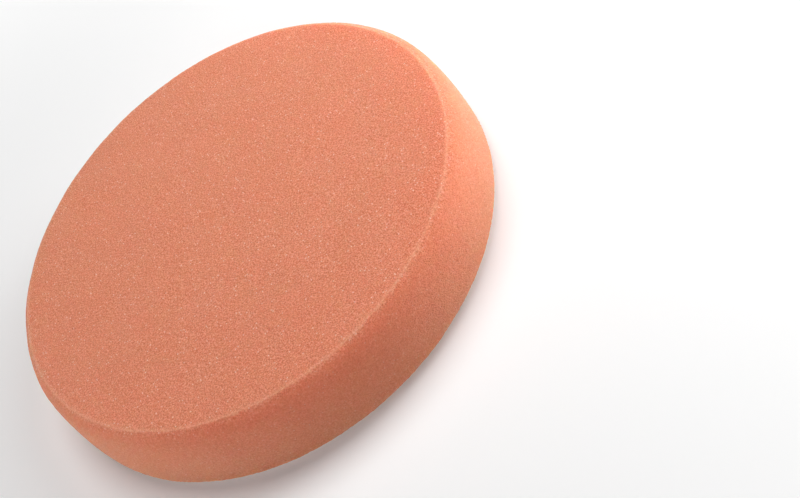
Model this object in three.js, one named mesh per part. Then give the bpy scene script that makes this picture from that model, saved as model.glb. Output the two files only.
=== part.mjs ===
// Foam polishing pad for a random-orbital polisher: an open-cell foam disc bonded to a
// hook-and-loop backing. Millimetres, +Z up. The origin is the centre of the loop face, the
// side that grips the polisher's backing plate, and the working face looks along +Z.
import * as THREE from 'three';

// Driving dimensions.
const BACK_DIAMETER = 155; // foam, at the bonded back edge
const FACE_DIAMETER = 144.4; // flat working face, out to its arris
const OVERALL_HEIGHT = 25;
const WALL_BOW_RADIUS = 85; // the side wall bows out by this large radius
const SHOULDER_RADIUS = 7; // round between the side wall and the arris
const BACK_EDGE_BREAK = 0.4; // small bevel left by the cutting die at the back edge
const BACKING_DIAMETER = 150; // film, knit and loops, cut to the polisher's plate
const LOOP_HEIGHT = 1.3; // free height of the loop pile
const KNIT_THICKNESS = 0.7; // ground cloth that the loops are knitted through
const FILM_THICKNESS = 0.4; // hot-melt film that bonds the cloth to the foam
const ROUND_SEGMENTS = 128;
const WALL_STEPS = 5;
const SHOULDER_STEPS = 6;

// Heights of the layers above the loop face.
const KNIT_BOTTOM = LOOP_HEIGHT;
const FILM_BOTTOM = KNIT_BOTTOM + KNIT_THICKNESS;
const FOAM_BOTTOM = FILM_BOTTOM + FILM_THICKNESS;

const pad = new THREE.Group();

const finishes = {
  foam: { color: 0xe58a66, roughness: 0.95 },
  film: { color: 0xd9d2c4, roughness: 0.6 },
  knit: { color: 0xcfc9bf, roughness: 0.9 },
  loops: { color: 0xe6e2da, roughness: 1.0 },
};

function addPiece(name, geometry, finish) {
  const material = new THREE.MeshStandardMaterial({ ...finish, metalness: 0 });
  const piece = new THREE.Mesh(geometry, material);
  piece.name = name;
  pad.add(piece);
}

// A flat round layer whose underside lies at height `bottom`.
function layer(diameter, bottom, thickness) {
  const radius = diameter / 2;
  return turned([
    new THREE.Vector2(0, bottom),
    new THREE.Vector2(radius, bottom),
    new THREE.Vector2(radius, bottom + thickness),
    new THREE.Vector2(0, bottom + thickness),
  ]);
}

// Turns a profile of (radius, height) points about +Z.
function turned(profile) {
  return new THREE.LatheGeometry(profile, ROUND_SEGMENTS).rotateX(Math.PI / 2);
}

// Points of an arc about `centre`, from angle `start` to angle `end`, both included.
function arc(centre, radius, start, end, steps) {
  const points = [];
  for (let step = 0; step <= steps; step += 1) {
    const angle = start + (end - start) * (step / steps);
    points.push(new THREE.Vector2(
      centre.x + radius * Math.cos(angle),
      centre.y + radius * Math.sin(angle),
    ));
  }
  return points;
}

// The foam's section: bevelled back edge, side wall that starts upright and bows in towards
// the face, shoulder round, and an arris where the round meets the flat working face.
function foamProfile() {
  const backRadius = BACK_DIAMETER / 2;
  const wallBottom = FOAM_BOTTOM + BACK_EDGE_BREAK;
  const wallCentre = new THREE.Vector2(backRadius - WALL_BOW_RADIUS, wallBottom);
  const arris = new THREE.Vector2(FACE_DIAMETER / 2, OVERALL_HEIGHT);

  // The shoulder's arc is tangent to the wall's and ends on the arris, so its centre, the
  // wall's centre and the arris make a triangle with three known sides.
  const toArris = arris.clone().sub(wallCentre);
  const reach = toArris.length();
  const toCentre = WALL_BOW_RADIUS - SHOULDER_RADIUS;
  const corner = Math.acos(
    (toCentre ** 2 + reach ** 2 - SHOULDER_RADIUS ** 2) / (2 * toCentre * reach),
  );
  const tangentAngle = toArris.angle() - corner;
  const shoulderCentre = new THREE.Vector2(toCentre, 0)
    .rotateAround(new THREE.Vector2(), tangentAngle)
    .add(wallCentre);
  const arrisAngle = arris.clone().sub(shoulderCentre).angle();

  const wall = arc(wallCentre, WALL_BOW_RADIUS, 0, tangentAngle, WALL_STEPS);
  const shoulder = arc(shoulderCentre, SHOULDER_RADIUS, tangentAngle, arrisAngle, SHOULDER_STEPS);
  return [
    new THREE.Vector2(0, FOAM_BOTTOM),
    new THREE.Vector2(backRadius - BACK_EDGE_BREAK, FOAM_BOTTOM),
    ...wall,
    ...shoulder.slice(1),
    new THREE.Vector2(0, OVERALL_HEIGHT),
  ];
}

addPiece('loop_pile', layer(BACKING_DIAMETER, 0, LOOP_HEIGHT), finishes.loops);
addPiece('backing_knit', layer(BACKING_DIAMETER, KNIT_BOTTOM, KNIT_THICKNESS), finishes.knit);
addPiece('adhesive_film', layer(BACKING_DIAMETER, FILM_BOTTOM, FILM_THICKNESS), finishes.film);
addPiece('foam_disc', turned(foamProfile()), finishes.foam);

export default pad;
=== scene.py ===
# The looks of the foam polishing pad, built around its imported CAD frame. Metres, +Z up.
import math

import bmesh
import bpy
import numpy as np
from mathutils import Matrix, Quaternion, Vector


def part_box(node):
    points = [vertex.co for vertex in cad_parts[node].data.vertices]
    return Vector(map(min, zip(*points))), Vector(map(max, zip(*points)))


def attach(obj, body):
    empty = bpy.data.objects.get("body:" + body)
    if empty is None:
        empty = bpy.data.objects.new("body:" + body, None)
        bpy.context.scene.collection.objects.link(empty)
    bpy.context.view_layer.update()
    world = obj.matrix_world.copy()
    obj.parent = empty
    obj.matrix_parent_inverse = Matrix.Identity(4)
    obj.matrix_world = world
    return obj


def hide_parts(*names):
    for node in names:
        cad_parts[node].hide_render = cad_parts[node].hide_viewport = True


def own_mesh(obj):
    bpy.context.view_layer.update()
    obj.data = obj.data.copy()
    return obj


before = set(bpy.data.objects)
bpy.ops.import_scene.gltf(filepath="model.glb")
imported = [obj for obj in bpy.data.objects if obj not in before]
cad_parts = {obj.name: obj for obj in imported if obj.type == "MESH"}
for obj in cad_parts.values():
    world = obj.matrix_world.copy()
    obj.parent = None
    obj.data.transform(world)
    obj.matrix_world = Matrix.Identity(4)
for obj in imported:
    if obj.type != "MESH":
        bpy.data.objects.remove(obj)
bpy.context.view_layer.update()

MM = 0.001
TAU = 2 * math.pi

# The frame's boxes, which every piece below is worked out from.
LOOP_LOW, LOOP_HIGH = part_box("loop_pile")
KNIT_LOW, KNIT_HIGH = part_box("backing_knit")
FILM_LOW, FILM_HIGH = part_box("adhesive_film")
FOAM_LOW, FOAM_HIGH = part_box("foam_disc")

# Foam.
FACE_RADIUS = 72.2 * MM  # the flat face, out to its arris
WALL_BOW_RADIUS = 85.0 * MM
SHOULDER_RADIUS = 7.0 * MM
BACK_EDGE = 0.4 * MM
FOAM_GRID = 0.56 * MM  # about one cell of the foam
HIDDEN_GRID = 3.0 * MM
BONDED_SKIN = 0.05 * MM  # points this close to the underside stay flat, on the film
CELL_JITTER = 0.28  # share of the grid by which a cell sits off its place
CELL_DEPTH = 0.12 * MM  # deepest opened cell on the cut surface
CELL_DEPTH_POWER = 2.2  # a higher power leaves fewer cells deep
CUT_WAVE = 0.05 * MM  # slow unevenness of the cut
CUT_WAVE_LENGTH = 14.0 * MM
ARRIS_HIGHLIGHT_REACH = 0.8 * MM  # how far the painted highlight along the arris reaches from it
FACE_BLEND = 1.5 * MM  # depth over which the face's open grain gives way to the side's

# Foam's material. Texture scales are features per metre.
PORE_SCALE = 2100
PORE_DEPTH = 0.12 * MM  # of the pores that are finer than the mesh
GRAIN_SCALE = 2000
PAINTED_GLINT_SCALE = 1300
PATCH_SCALE = 70
PATCH_TONE = 0.05
SIDE_CONTRAST = 0.42  # of the grain on the side, against 1 on the face
# strength of the painted shade in the pore hollows
PORE_SHADE_TONE = 0.5
PAINTED_GLINT_FROM = 0.88  # cells whose own number is above this one get a painted glint
PAINTED_GLINT_TONE = 0.8
# strength of the painted highlight along the arris
ARRIS_HIGHLIGHT_TONE = 0.35
FOAM_DARK = (0.74, 0.212, 0.110)
FOAM_MIDDLE = (0.86, 0.295, 0.170)
FOAM_LIGHT = (0.94, 0.418, 0.288)
# painted shade in the pore hollows
FOAM_PORE_SHADE = (0.52, 0.13, 0.058)
# painted glint on a few cells
FOAM_PAINTED_GLINT = (1.0, 0.74, 0.62)
# painted highlight along the arris
FOAM_ARRIS_HIGHLIGHT = (1.0, 0.52, 0.36)

# Film.
BACKING_RADIUS = LOOP_HIGH.x
FINE_RIM = BACKING_RADIUS - 1.5 * MM  # outside it, a layer has a fine mesh
PLAIN_MIDDLE = BACKING_RADIUS - 2.0 * MM  # inside it, a hidden face has a coarse one
FILM_GRID = 0.45 * MM
FILM_BEAD = 0.35 * MM  # how far the melted film swells out at its rim
BEAD_BAND = 1.2 * MM  # width of the rim that swells
BEAD_WAVE_LENGTH = 9.0 * MM

# Cloth.
KNIT_GRID = 0.58 * MM
WALE_PITCH = 1.9 * MM
STITCH_PITCH = 1.6 * MM
RIB_DEPTH = 0.22 * MM
RAGGED_EDGE = 0.07 * MM
PLANTED_REACH = BACKING_RADIUS - 0.5 * MM  # yarns are rooted inside this radius
LOOP_PITCH = 1.75 * MM
LOOP_WANDER = 0.3  # share of the pitch by which a loop stands off its place
LOOP_ROOT = 0.15 * MM  # how far above the ribs a loop is planted
LOOP_UNEVEN = 0.4 * MM  # how much shorter the shortest loop is
LOOP_HALF_WIDTHS = (0.45 * MM, 0.85 * MM)
LOOP_LEAN = 0.45 * MM
LOOP_POINTS = 6
LOOP_BLUNTNESS = 0.8  # below 1, the top of a loop is flatter than an arc
PILE_YARN = 0.11 * MM  # radius
FRAYED_ENDS = 520
END_LENGTHS = (0.4 * MM, 1.3 * MM)
END_ROOT = 0.4 * MM  # the part of a cut end that is inside the cloth
END_BEND = 0.35 * MM
END_YARN = 0.07 * MM  # radius, where it leaves the cloth
END_POINTS = 5

# Camera: where it stands and what it looks at, from the centre of the loop face.
LENS = 47.0
SENSOR = 36.0
CAMERA_DISTANCE = 331.35 * MM
CAMERA_ELEVATION = math.radians(41.86)
CAMERA_ROLL = math.radians(-38.53)
AIM = Vector((28.04, -39.2, 0.0)) * MM

# The floor glows faintly near the pad and more past it, so that it stays pale out to its rim.
FLOOR_RADIUS = 3.0
FLOOR_NEAR = 0.10
FLOOR_FAR = 0.60
GLOW_NEAR = 0.12
GLOW_FAR = 0.95

rng = np.random.default_rng(7)


# ---------------------------------------------------------------- meshes

def add_mesh(name, vertices, faces):
    """A smooth-shaded mesh object, with its faces turned outward."""
    mesh = bpy.data.meshes.new(name)
    mesh.from_pydata(np.asarray(vertices).tolist(), [], faces)
    bm = bmesh.new()
    bm.from_mesh(mesh)
    bmesh.ops.recalc_face_normals(bm, faces=bm.faces)
    bm.to_mesh(mesh)
    bm.free()
    mesh.polygons.foreach_set("use_smooth", [True] * len(mesh.polygons))
    obj = bpy.data.objects.new(name, mesh)
    bpy.context.scene.collection.objects.link(obj)
    return obj


def positions(obj):
    co = np.zeros(len(obj.data.vertices) * 3, np.float32)
    obj.data.vertices.foreach_get("co", co)
    return co.reshape(-1, 3).astype(float)


def normals(obj):
    n = np.zeros(len(obj.data.vertices) * 3, np.float32)
    obj.data.vertex_normals.foreach_get("vector", n)
    return n.reshape(-1, 3).astype(float)


def move_to(obj, points):
    obj.data.vertices.foreach_set("co", points.astype(np.float32).ravel())
    obj.data.update()


def store(obj, name, values):
    """Keeps a number for each point of a mesh, for its material to read."""
    attribute = obj.data.attributes.new(name, "FLOAT", "POINT")
    attribute.data.foreach_set("value", np.asarray(values, np.float32))


def along(points, step):
    """(radius, height, step) rows, about step apart along a polyline of (radius, height) points."""
    points = np.array(points, float)
    distance = np.concatenate([[0.0], np.cumsum(np.hypot(*np.diff(points, axis=0).T))])
    count = max(2, int(round(distance[-1] / step)) + 1)
    at = np.linspace(0.0, distance[-1], count)
    columns = [np.interp(at, distance, points[:, k]) for k in range(2)]
    return np.stack(columns + [np.full(count, step)], axis=1)


def arc(centre, radius, start, end, steps=16):
    """(radius, height) points of an arc in a section."""
    turn_by = np.linspace(start, end, steps)
    return [(centre[0] + radius * math.cos(a), centre[1] + radius * math.sin(a)) for a in turn_by]


def zip_rings(a, b):
    """Triangles between two rings of vertex numbers, which may differ in length."""
    faces = []
    i = j = 0
    while i < len(a) or j < len(b):
        corner_a, corner_b = a[i % len(a)], b[j % len(b)]
        if j >= len(b) or (i < len(a) and (i + 1) / len(a) <= (j + 1) / len(b)):
            i += 1
            faces.append((corner_a, a[i % len(a)], corner_b))
        else:
            j += 1
            faces.append((corner_a, b[j % len(b)], corner_b))
    return faces


def turned(name, section):
    """A closed skin about +Z with nearly even triangles, from (radius, height, step) rows that run
    from the axis to the axis."""
    vertices, rings, faces = [], [], []
    for radius, height, step in section:
        count = 1 if radius < step / 2 else max(6, int(round(TAU * radius / step)))
        stagger = 0.5 * (len(rings) % 2)
        rings.append(range(len(vertices), len(vertices) + count))
        for k in range(count):
            angle = TAU * (k + stagger) / count
            vertices.append((radius * math.cos(angle), radius * math.sin(angle), height))
    for a, b in zip(rings, rings[1:]):
        if len(a) == 1:
            faces += [(a[0], b[k], b[(k + 1) % len(b)]) for k in range(len(b))]
        elif len(b) == 1:
            faces += [(b[0], a[(k + 1) % len(a)], a[k]) for k in range(len(a))]
        else:
            faces += zip_rings(a, b)
    return add_mesh(name, vertices, faces)


def waves(points, length, count=10):
    """A smooth uneven field of about -1 to 1: a sum of plane waves in seeded directions."""
    total = np.zeros(len(points))
    for _ in range(count):
        direction = rng.normal(size=3)
        direction /= np.linalg.norm(direction)
        stretch = rng.uniform(0.7, 1.6)
        phase = rng.uniform(0, TAU)
        total += np.sin(points @ direction * (TAU / (length * stretch)) + phase)
    return total / math.sqrt(count)


def tubes(name, paths, radii, sides=3):
    """One mesh of closed thin tubes. paths is (tube, point, 3) and radii is (tube, point)."""
    count, steps, _ = paths.shape
    ahead = np.gradient(paths, axis=1)
    ahead /= np.linalg.norm(ahead, axis=2, keepdims=True)
    across = np.cross(ahead, (0.0, 0.0, 1.0))
    flat = np.linalg.norm(across, axis=2, keepdims=True)
    across = np.where(flat > 0.05, across / np.maximum(flat, 1e-9), (1.0, 0.0, 0.0))
    third = np.cross(ahead, across)
    angle = np.arange(sides) * (TAU / sides)
    ring = np.cos(angle)[:, None] * across[:, :, None] + np.sin(angle)[:, None] * third[:, :, None]
    vertices = paths[:, :, None] + radii[:, :, None, None] * ring
    one = []
    for step in range(steps - 1):
        for k in range(sides):
            a, b = step * sides + k, step * sides + (k + 1) % sides
            one += [(a, b, b + sides), (a, b + sides, a + sides)]
    last = (steps - 1) * sides
    for k in range(1, sides - 1):
        one += [(0, k + 1, k), (last, last + k, last + k + 1)]
    starts = np.arange(count)[:, None, None] * (steps * sides)
    faces = (np.array(one)[None] + starts).reshape(-1, 3)
    return add_mesh(name, vertices.reshape(-1, 3), faces.tolist())


# ---------------------------------------------------------------- material graphs

class Graph:
    """A material's node graph, with short calls for the nodes used here."""

    def __init__(self, name):
        self.material = bpy.data.materials.new(name)
        self.material.use_nodes = True
        self.nodes = self.material.node_tree.nodes
        self.shader = self.nodes["Principled BSDF"]
        self.place = self.nodes.new("ShaderNodeTexCoord").outputs["Object"]

    def put(self, socket, value):
        if isinstance(value, bpy.types.NodeSocket):
            self.material.node_tree.links.new(value, socket)
        else:
            socket.default_value = value

    def set(self, **values):
        """Sets or links inputs of the shader: words of the socket's name joined by _."""
        for key, value in values.items():
            self.put(self.shader.inputs[key.replace("_", " ")], value)

    def noise(self, scale, detail=2.0, roughness=0.5):
        node = self.nodes.new("ShaderNodeTexNoise")
        self.put(node.inputs["Vector"], self.place)
        self.put(node.inputs["Scale"], scale)
        self.put(node.inputs["Detail"], detail)
        self.put(node.inputs["Roughness"], roughness)
        return node.outputs["Fac"]

    def cells(self, scale, feature="F1", output="Distance"):
        node = self.nodes.new("ShaderNodeTexVoronoi")
        node.feature = feature
        self.put(node.inputs["Vector"], self.place)
        self.put(node.inputs["Scale"], scale)
        return node.outputs[output]

    def cell_number(self, scale):
        """A number of 0 to 1 that is the same all over a cell, and differs from cell to cell."""
        node = self.nodes.new("ShaderNodeSeparateColor")
        self.put(node.inputs[0], self.cells(scale, output="Color"))
        return node.outputs[0]

    def attribute(self, name):
        """A number stored on the mesh's points."""
        node = self.nodes.new("ShaderNodeAttribute")
        node.attribute_name = name
        return node.outputs["Fac"]

    def math(self, operation, a, b):
        node = self.nodes.new("ShaderNodeMath")
        node.operation = operation
        self.put(node.inputs[0], a)
        self.put(node.inputs[1], b)
        return node.outputs[0]

    def length(self):
        """Distance from the object's origin."""
        node = self.nodes.new("ShaderNodeVectorMath")
        node.operation = "LENGTH"
        self.put(node.inputs[0], self.place)
        return node.outputs["Value"]

    def spread(self, value, low, high, to_low=0.0, to_high=1.0):
        node = self.nodes.new("ShaderNodeMapRange")
        node.interpolation_type = "SMOOTHSTEP"
        self.put(node.inputs["Value"], value)
        numbers = (("From Min", low), ("From Max", high), ("To Min", to_low), ("To Max", to_high))
        for socket, number in numbers:
            self.put(node.inputs[socket], number)
        return node.outputs["Result"]

    def ramp(self, value, *stops):
        node = self.nodes.new("ShaderNodeValToRGB")
        elements = node.color_ramp.elements
        while len(elements) < len(stops):
            elements.new(0.5)
        for element, (position, colour) in zip(elements, stops):
            element.position = position
            element.color = (*colour, 1.0)
        self.put(node.inputs["Fac"], value)
        return node.outputs["Color"]

    def mix(self, factor, a, b):
        node = self.nodes.new("ShaderNodeMix")
        node.data_type = "RGBA"
        self.put(node.inputs["Factor"], factor)
        self.put(node.inputs[6], a if isinstance(a, bpy.types.NodeSocket) else (*a, 1.0))
        self.put(node.inputs[7], b if isinstance(b, bpy.types.NodeSocket) else (*b, 1.0))
        return node.outputs[2]

    def bump(self, height, distance, strength):
        node = self.nodes.new("ShaderNodeBump")
        self.put(node.inputs["Height"], height)
        self.put(node.inputs["Distance"], distance)
        self.put(node.inputs["Strength"], strength)
        return node.outputs["Normal"]


def foam_material():
    """Open-cell foam. On the sliced face the cells lie open, with painted shade in their hollows
    and painted glints on a few of them; the side is finer.
    """
    g = Graph("salmon_open_cell_foam")
    pore = g.cells(PORE_SCALE)
    strand = g.cells(PORE_SCALE, "DISTANCE_TO_EDGE")
    face = g.attribute("on_face")
    contrast = g.spread(face, 0.0, 1.0, SIDE_CONTRAST, 1.0)
    grain = g.math("SUBTRACT", g.noise(GRAIN_SCALE, roughness=0.7), 0.5)
    patch = g.math("MULTIPLY", g.noise(PATCH_SCALE), PATCH_TONE)
    shade = g.math("ADD", g.math("MULTIPLY", grain, contrast), patch)
    base = g.ramp(
        g.math("ADD", shade, 0.5),
        (0.41, FOAM_DARK),
        (0.525, FOAM_MIDDLE),
        (0.64, FOAM_LIGHT),
    )
    hollow = g.spread(pore, 0.10, 0.55)
    # Painted shade: the base colour is darkened in the hollow of each pore, most on the face.
    pore_shade = g.math("MULTIPLY", g.math("SUBTRACT", 1.0, hollow), contrast)
    base = g.mix(g.math("MULTIPLY", pore_shade, PORE_SHADE_TONE), base, FOAM_PORE_SHADE)
    # Painted highlight: a few cells are made pale in the base colour as glints, most on the face.
    painted_glint = g.math("GREATER_THAN", g.cell_number(PAINTED_GLINT_SCALE), PAINTED_GLINT_FROM)
    painted_glint = g.math("MULTIPLY", painted_glint, g.spread(g.cells(PAINTED_GLINT_SCALE), 0.12, 0.38, 1.0, 0.0))
    painted_glint = g.math("MULTIPLY", painted_glint, contrast)
    base = g.mix(g.math("MULTIPLY", painted_glint, PAINTED_GLINT_TONE), base, FOAM_PAINTED_GLINT)
    # Painted highlight: a thin paler line in the base colour along the arris.
    arris_highlight = g.math("MULTIPLY", g.attribute("arris_painted_highlight"), ARRIS_HIGHLIGHT_TONE)
    base = g.mix(arris_highlight, base, FOAM_ARRIS_HIGHLIGHT)
    height = g.math("ADD", hollow, g.math("MULTIPLY", g.spread(strand, 0.0, 0.15), -0.4))
    g.set(
        Base_Color=base,
        Roughness=0.9,
        Normal=g.bump(height, PORE_DEPTH, 0.8),
        Subsurface_Weight=0.8,
        Subsurface_Radius=(1.0, 0.20, 0.09),
        Subsurface_Scale=16.0 * MM,
        Sheen_Weight=0.02,
        Sheen_Roughness=0.45,
        Specular_IOR_Level=0.1,
    )
    g.shader.inputs["Sheen Tint"].default_value = (1.0, 0.86, 0.78, 1.0)
    return g.material


def film_material():
    g = Graph("milky_hot_melt_film")
    cloud = g.noise(260, 3.0)
    g.set(
        Base_Color=g.ramp(cloud, (0.3, (0.70, 0.66, 0.58)), (0.7, (0.84, 0.81, 0.74))),
        Roughness=g.spread(cloud, 0.3, 0.7, 0.35, 0.6),
        Normal=g.bump(g.noise(900), 0.05 * MM, 0.6),
        Subsurface_Weight=0.3,
        Subsurface_Radius=(1.0, 0.9, 0.8),
        Subsurface_Scale=1.0 * MM,
    )
    return g.material


def yarn_material(name, dark, light, fibre_scale):
    g = Graph(name)
    fibre = g.noise(fibre_scale, 4.0, 0.65)
    patch = g.noise(90)
    tone = g.math("ADD", g.math("MULTIPLY", fibre, 0.7), g.math("MULTIPLY", patch, 0.3))
    g.set(
        Base_Color=g.ramp(tone, (0.32, dark), (0.66, light)),
        Roughness=0.8,
        Normal=g.bump(fibre, 0.04 * MM, 0.7),
        Sheen_Weight=0.4,
        Sheen_Roughness=0.35,
        Subsurface_Weight=0.15,
        Subsurface_Radius=(1.0, 0.95, 0.9),
        Subsurface_Scale=0.6 * MM,
    )
    return g.material


def floor_material():
    g = Graph("pale_floor")
    g.set(
        Base_Color=(0.90, 0.90, 0.90, 1.0),
        Roughness=0.9,
        Emission_Color=(1.0, 1.0, 1.0, 1.0),
        Emission_Strength=g.spread(g.length(), FLOOR_NEAR, FLOOR_FAR, GLOW_NEAR, GLOW_FAR),
        Specular_IOR_Level=0.1,
    )
    return g.material


# ---------------------------------------------------------------- pieces

def foam_section():
    """From the axis under the foam, round the bowed side wall and the shoulder, over the arris,
    to the axis on the working face."""
    radius, low, high = FOAM_HIGH.x, FOAM_LOW.z, FOAM_HIGH.z
    wall_centre = Vector((radius - WALL_BOW_RADIUS, low + BACK_EDGE))
    arris = Vector((FACE_RADIUS, high))
    # The shoulder's arc is tangent to the wall's and ends on the arris: a triangle whose
    # corners are the two centres and the arris has three known sides.
    to_arris = arris - wall_centre
    to_centre = WALL_BOW_RADIUS - SHOULDER_RADIUS
    spread = to_centre ** 2 + to_arris.length ** 2 - SHOULDER_RADIUS ** 2
    corner = math.acos(spread / (2 * to_centre * to_arris.length))
    tangent = math.atan2(to_arris.y, to_arris.x) - corner
    shoulder_centre = wall_centre + to_centre * Vector((math.cos(tangent), math.sin(tangent)))
    last = arris - shoulder_centre
    wall = arc(wall_centre, WALL_BOW_RADIUS, 0, tangent)
    shoulder = arc(shoulder_centre, SHOULDER_RADIUS, tangent, math.atan2(last.y, last.x))
    hidden = along([(0, low), (BACKING_RADIUS - HIDDEN_GRID, low)], HIDDEN_GRID)
    edge = [(BACKING_RADIUS, low), (radius - BACK_EDGE, low)]
    side = along(edge + wall + shoulder, FOAM_GRID)
    face = along([(FACE_RADIUS, high), (0, high)], FOAM_GRID)
    return np.concatenate([hidden, side, face[1:]])


def make_foam():
    foam = turned("foam_disc_cut", foam_section())
    points, out = positions(foam), normals(foam)
    under = points[:, 2] < FOAM_LOW.z + BONDED_SKIN
    jitter = rng.uniform(-CELL_JITTER, CELL_JITTER, points.shape) * FOAM_GRID
    jitter -= (jitter * out).sum(1, keepdims=True) * out
    depth = CELL_DEPTH * rng.random(len(points)) ** CELL_DEPTH_POWER
    wave = CUT_WAVE * waves(points, CUT_WAVE_LENGTH)
    loose = np.where(under, 0.0, 1.0)[:, None]
    moved = points + loose * (jitter + out * (wave - depth)[:, None])
    move_to(foam, moved)
    out_to = np.hypot(points[:, 0], points[:, 1]) - FACE_RADIUS
    below = FOAM_HIGH.z - points[:, 2]
    # Masks for the material: the painted highlight along the arris, and how much of the face's
    # grain a point gets.
    store(foam, "arris_painted_highlight", np.clip(1 - np.hypot(out_to, below) / ARRIS_HIGHLIGHT_REACH, 0, 1))
    store(foam, "on_face", np.clip(1 - below / FACE_BLEND, 0, 1))
    foam.data.materials.append(foam_material())
    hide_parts("foam_disc")
    return foam


def make_film():
    low, high, middle = FILM_LOW.z, FILM_HIGH.z, (FILM_LOW.z + FILM_HIGH.z) / 2
    half = (high - low) / 2
    rim = arc((BACKING_RADIUS - half, middle), half, -TAU / 4, TAU / 4, 7)
    rows = [
        along([(0, low), (PLAIN_MIDDLE, low)], HIDDEN_GRID),
        along([(FINE_RIM, low)] + rim + [(FINE_RIM, high)], FILM_GRID),
        along([(PLAIN_MIDDLE, high), (0, high)], HIDDEN_GRID),
    ]
    film = turned("adhesive_film_bead", np.concatenate(rows))
    points = positions(film)
    radius = np.hypot(points[:, 0], points[:, 1])
    swell = FILM_BEAD * (0.4 + 0.35 * waves(points * (1, 1, 0), BEAD_WAVE_LENGTH))
    near_rim = np.clip((radius - BACKING_RADIUS + BEAD_BAND) / BEAD_BAND, 0, 1)
    outward = points * (1, 1, 0) / np.maximum(radius, 1e-9)[:, None]
    move_to(film, points + outward * (swell * near_rim)[:, None])
    film.data.materials.append(film_material())
    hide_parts("adhesive_film")
    return film


def make_knit():
    low, high = KNIT_LOW.z, KNIT_HIGH.z
    half = (high - low) / 2
    rim = arc((BACKING_RADIUS - half, low + half), half, -TAU / 4, TAU / 4, 7)
    rows = [
        along([(0, low)] + rim + [(FINE_RIM, high)], KNIT_GRID),
        along([(PLAIN_MIDDLE, high), (0, high)], HIDDEN_GRID),
    ]
    knit = turned("backing_knit_cloth", np.concatenate(rows))
    points = positions(knit)
    wale = np.cos(points[:, 0] * TAU / WALE_PITCH)
    lap = np.cos(points[:, 1] * TAU / STITCH_PITCH + np.sign(wale) * TAU / 4)
    rib = RIB_DEPTH * (0.5 - 0.3 * wale - 0.2 * lap)
    lift = np.where(points[:, 2] < low + half * 0.6, rib, 0.0)
    radius = np.hypot(points[:, 0], points[:, 1])
    outward = points * (1, 1, 0) / np.maximum(radius, 1e-9)[:, None]
    uneven = rng.normal(0, RAGGED_EDGE, len(points))
    ragged = np.where(radius > BACKING_RADIUS - half, uneven, 0.0)
    move_to(knit, points + outward * ragged[:, None] + lift[:, None] * (0, 0, 1))
    knit.data.materials.append(knit_yarn)
    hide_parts("backing_knit")
    return knit


def make_loops():
    """The pile: thin yarn arches planted through the knit, leaning all ways."""
    lines = np.arange(-PLANTED_REACH, PLANTED_REACH, LOOP_PITCH)
    x, y = (a.ravel() for a in np.meshgrid(lines, lines))
    x = x + rng.uniform(-LOOP_WANDER, LOOP_WANDER, len(x)) * LOOP_PITCH
    y = y + rng.uniform(-LOOP_WANDER, LOOP_WANDER, len(y)) * LOOP_PITCH
    inside = np.hypot(x, y) < PLANTED_REACH
    x, y = x[inside], y[inside]
    count = len(x)
    heading = rng.uniform(0, TAU, count)
    width = rng.uniform(*LOOP_HALF_WIDTHS, count)
    root = KNIT_LOW.z + RIB_DEPTH + LOOP_ROOT
    crest = LOOP_LOW.z + PILE_YARN + rng.uniform(0.0, LOOP_UNEVEN, count)
    lean = rng.normal(0, LOOP_LEAN, (count, 2))
    turn_by = np.linspace(0, math.pi, LOOP_POINTS)
    side = np.cos(turn_by)[None] * width[:, None]
    drop = np.sin(turn_by)[None] ** LOOP_BLUNTNESS
    path = np.stack([
        x[:, None] + np.cos(heading)[:, None] * side + lean[:, :1] * drop,
        y[:, None] + np.sin(heading)[:, None] * side + lean[:, 1:] * drop,
        root + (crest - root)[:, None] * drop,
    ], axis=2)
    radii = np.full((count, LOOP_POINTS), PILE_YARN)
    loops = tubes("loop_pile_yarns", path, radii)
    loops.data.materials.append(pile_yarn)
    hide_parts("loop_pile")
    return loops


def make_frayed_ends():
    """Cut ends of the ground yarns, standing out of the cloth's rim."""
    angle = rng.uniform(0, TAU, FRAYED_ENDS)
    height = rng.uniform(KNIT_LOW.z + 0.1 * MM, KNIT_HIGH.z - 0.15 * MM, FRAYED_ENDS)
    length = rng.uniform(*END_LENGTHS, FRAYED_ENDS)
    bend = rng.normal(0, END_BEND, (FRAYED_ENDS, 2))
    share = np.linspace(0, 1, END_POINTS)
    radius = PLANTED_REACH + (length[:, None] + END_ROOT) * share
    around = angle[:, None] + (bend[:, :1] / BACKING_RADIUS) * share ** 2
    path = np.stack([
        radius * np.cos(around),
        radius * np.sin(around),
        height[:, None] + bend[:, 1:] * share ** 2,
    ], axis=2)
    path[:, :, 2] = np.clip(path[:, :, 2], LOOP_LOW.z + 0.3 * MM, FILM_LOW.z - 0.1 * MM)
    radii = END_YARN * (1 - 0.5 * share)[None] * np.ones((FRAYED_ENDS, 1))
    ends = tubes("backing_frayed_ends", path, radii)
    ends.data.materials.append(knit_yarn)
    return ends


# ---------------------------------------------------------------- studio

def add_camera():
    data = bpy.data.cameras.new("camera")
    data.lens = LENS
    data.sensor_width = SENSOR
    data.clip_start = 0.01
    camera = bpy.data.objects.new("camera", data)
    bpy.context.scene.collection.objects.link(camera)
    back, up = math.cos(CAMERA_ELEVATION), math.sin(CAMERA_ELEVATION)
    camera.location = Vector((0.0, -back, up)) * CAMERA_DISTANCE
    camera.rotation_mode = "QUATERNION"
    look = (AIM - camera.location).to_track_quat("-Z", "Y")
    camera.rotation_quaternion = look @ Quaternion((0, 0, 1), CAMERA_ROLL)
    bpy.context.scene.camera = camera


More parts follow.
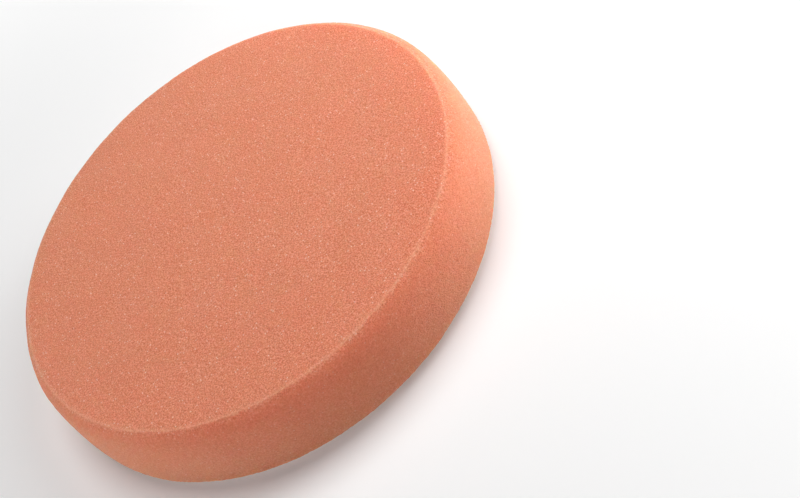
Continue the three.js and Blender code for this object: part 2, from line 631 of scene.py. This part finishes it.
def add_softbox(name, azimuth, elevation, distance, size, power):
    """A round white light that faces the origin: degrees, metres and watts."""
    data = bpy.data.lights.new(name, "AREA")
    data.shape = "DISK"
    data.size = size
    data.energy = power
    light = bpy.data.objects.new(name, data)
    bpy.context.scene.collection.objects.link(light)
    a, e = math.radians(azimuth), math.radians(elevation)
    toward = Vector((math.cos(a) * math.cos(e), math.sin(a) * math.cos(e), math.sin(e)))
    light.location = toward * distance
    light.rotation_mode = "QUATERNION"
    light.rotation_quaternion = toward.to_track_quat("Z", "Y")


def add_world(ambient, seen):
    """Even light from all round, and a pale backdrop where the camera looks past the floor."""
    world = bpy.data.worlds.new("studio")
    bpy.context.scene.world = world
    world.use_nodes = True
    nodes, links = world.node_tree.nodes, world.node_tree.links
    background = nodes["Background"]
    background.inputs["Color"].default_value = (1.0, 1.0, 1.0, 1.0)
    pick = nodes.new("ShaderNodeMapRange")
    links.new(nodes.new("ShaderNodeLightPath").outputs["Is Camera Ray"], pick.inputs["Value"])
    pick.inputs["To Min"].default_value = ambient
    pick.inputs["To Max"].default_value = seen
    links.new(pick.outputs["Result"], background.inputs["Strength"])


def add_floor():
    bpy.ops.mesh.primitive_circle_add(vertices=96, radius=FLOOR_RADIUS, fill_type="NGON")
    floor = bpy.context.active_object
    floor.name = "floor"
    floor.data.materials.append(floor_material())


add_camera()
add_floor()
add_world(ambient=0.0, seen=0.97)
add_softbox("key", azimuth=-9, elevation=18, distance=0.55, size=0.36, power=1.95)
add_softbox("high", azimuth=0, elevation=45, distance=0.4, size=0.23, power=0.48)
add_softbox("fill", azimuth=-165, elevation=21, distance=0.7, size=0.4, power=1.55)
add_softbox("top", azimuth=60, elevation=75, distance=0.7, size=0.4, power=2.4)
bpy.context.scene.view_settings.view_transform = "Standard"

knit_yarn = yarn_material("off_white_ground_yarn", (0.52, 0.49, 0.44), (0.80, 0.77, 0.72), 2600)
pile_yarn = yarn_material("off_white_pile_yarn", (0.66, 0.64, 0.60), (0.92, 0.91, 0.87), 3200)

foam = make_foam()
film = make_film()
knit = make_knit()
loops = make_loops()
ends = make_frayed_ends()

for piece in (film, knit, loops, ends):
    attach(piece, "backing")
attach(foam, "foam")
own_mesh(foam)
